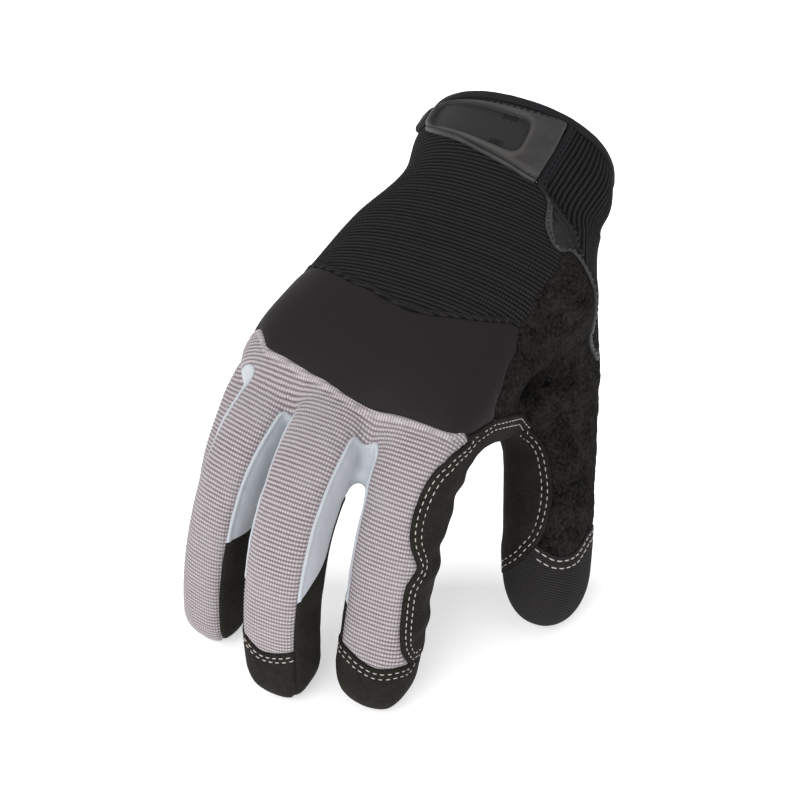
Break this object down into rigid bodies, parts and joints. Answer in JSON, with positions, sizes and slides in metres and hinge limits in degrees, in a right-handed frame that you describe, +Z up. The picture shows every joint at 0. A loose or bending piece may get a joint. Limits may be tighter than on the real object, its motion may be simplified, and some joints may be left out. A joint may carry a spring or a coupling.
{
  "type": "anti vibration glove",
  "caption": "Right-hand mechanic's anti vibration glove in its worn shape, with ribbed knit finger backs, leather palm, terry thumb and a rubber closure strap.",
  "frame": {"origin": "centre of the wrist opening", "axes": "+Z up with the glove's back upwards and its fingers pointing down, +Y from the fingers towards the wrist, +X towards the thumb's side"},
  "size_m": [0.1554, 0.1972, 0.1437],
  "materials": {
    "leather": "black synthetic leather with a suede face",
    "grey_knit": "grey ribbed stretch knit",
    "neoprene": "smooth black fabric over thin foam",
    "black_knit": "black ribbed stretch knit",
    "binding": "folded black binding tape",
    "elastic": "ribbed black elastic",
    "fourchette": "pale grey brushed fabric",
    "terry": "black terry cloth",
    "rubber": "moulded satin rubber"
  },
  "bodies": {
    "root": {"palm_leather": "leather", "finger_back_knit": "grey_knit", "knuckle_band": "neoprene", "hand_back_knit": "black_knit", "wrist_binding": "binding", "cuff_gusset_knit": "elastic", "slit_binding": "binding", "index_tip_cap": "leather", "middle_tip_cap": "leather", "thumb_tip_cap": "black_knit", "fourchette_index_middle": "fourchette", "fourchette_middle_ring": "fourchette", "fourchette_ring_little": "fourchette", "index_side_panel": "leather", "thumb_saddle_patch": "leather", "thumb_back_terry": "terry", "closure_strap": "rubber", "strap_tab": "binding"}
  },
  "joints": []
}
